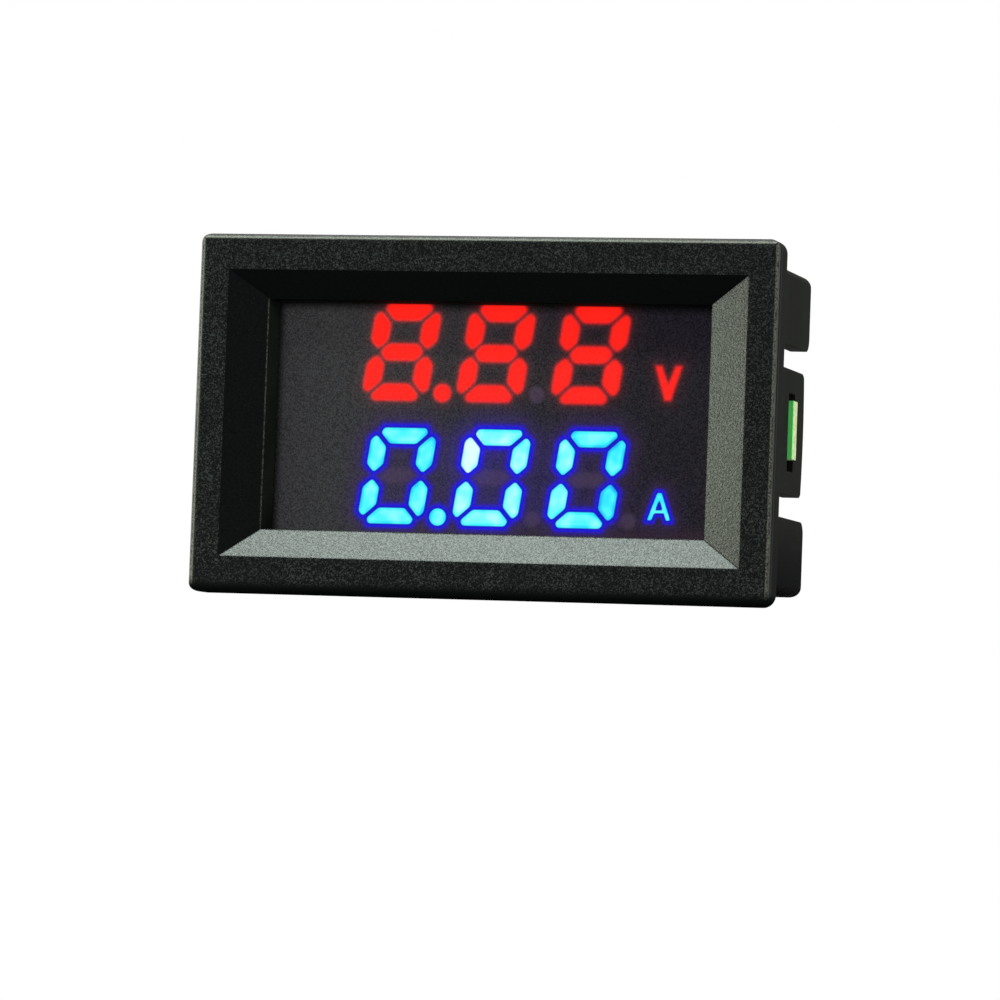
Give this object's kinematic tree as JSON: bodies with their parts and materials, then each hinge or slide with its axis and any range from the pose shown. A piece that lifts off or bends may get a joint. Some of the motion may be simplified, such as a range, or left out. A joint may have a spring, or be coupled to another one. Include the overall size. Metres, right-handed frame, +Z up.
{
  "type": "digital panel meter",
  "caption": "Panel meter with a black bezel, two rows of lit seven-segment digits for volts and amps, and a slit snap-in sleeve holding an open-backed circuit board.",
  "frame": {"origin": "centre of the panel cut-out, in the plane where the back of the bezel's flange seats on the panel", "axes": "+X to the right as the display is read, +Y from the front of the panel to the back, +Z up"},
  "size_m": [0.048, 0.0211, 0.029],
  "materials": {
    "moulded_black": "fine spark-eroded grain on moulded ABS",
    "smoked_film": "dark smoked matte film",
    "reflector": "white moulded reflector",
    "volt_light": "lit red resin",
    "amp_light": "lit blue resin",
    "unlit_resin": "unlit milky resin",
    "led_chip": "bare LED chips",
    "led_laminate": "thin laminate",
    "epoxy": "cast amber epoxy",
    "green_laminate": "green solder mask on glass laminate",
    "solder": "bright solder",
    "tinned": "tinned copper",
    "nylon": "natural white nylon",
    "shunt_alloy": "bare copper-nickel alloy wire",
    "ceramic_white": "white ceramic",
    "rotor_metal": "nickel-plated brass",
    "package_black": "moulded epoxy package",
    "tantalum_yellow": "moulded yellow epoxy",
    "resistor_black": "overglazed resistor",
    "capacitor_tan": "sintered ceramic"
  },
  "bodies": {
    "meter": {"housing": "moulded_black", "smoked_film": "smoked_film", "display_body": "reflector", "volt_bars": "volt_light", "volt_letter": "volt_light", "amp_bars": "amp_light", "amp_letter": "amp_light", "unlit_bars": "unlit_resin", "led_chips": "led_chip", "led_board": "led_laminate", "potting": "epoxy", "display_pins": "tinned", "main_board": "green_laminate", "solder_joints": "solder", "current_header": "nylon", "current_pins": "tinned", "supply_header": "nylon", "supply_pins": "tinned", "shunt": "shunt_alloy", "volt_trimmer_base": "ceramic_white", "amp_trimmer_base": "ceramic_white", "microcontroller": "package_black", "microcontroller_leads": "tinned", "amplifier": "package_black", "amplifier_leads": "tinned", "regulator": "package_black", "regulator_leads": "tinned", "diode": "package_black", "diode_terminals": "tinned", "tantalum_capacitor": "tantalum_yellow", "tantalum_terminals": "tinned", "digit_transistors": "package_black", "transistor_leads": "tinned", "chip_resistors": "resistor_black", "chip_capacitors": "capacitor_tan", "chip_terminals": "tinned"},
    "volt_trimmer": {"volt_trimmer_rotor": "rotor_metal"},
    "amp_trimmer": {"amp_trimmer_rotor": "rotor_metal"}
  },
  "joints": [
    {"name": "volt_trimmer_turn", "type": "hinge", "parent": "meter", "child": "volt_trimmer", "pos_m": [-0.01825, 0.0117, -0.0083], "axis": [0, 1, 0], "range_deg": [-130, 130]},
    {"name": "amp_trimmer_turn", "type": "hinge", "parent": "meter", "child": "amp_trimmer", "pos_m": [-0.01325, 0.0117, -0.0083], "axis": [0, 1, 0], "range_deg": [-130, 130]}
  ]
}
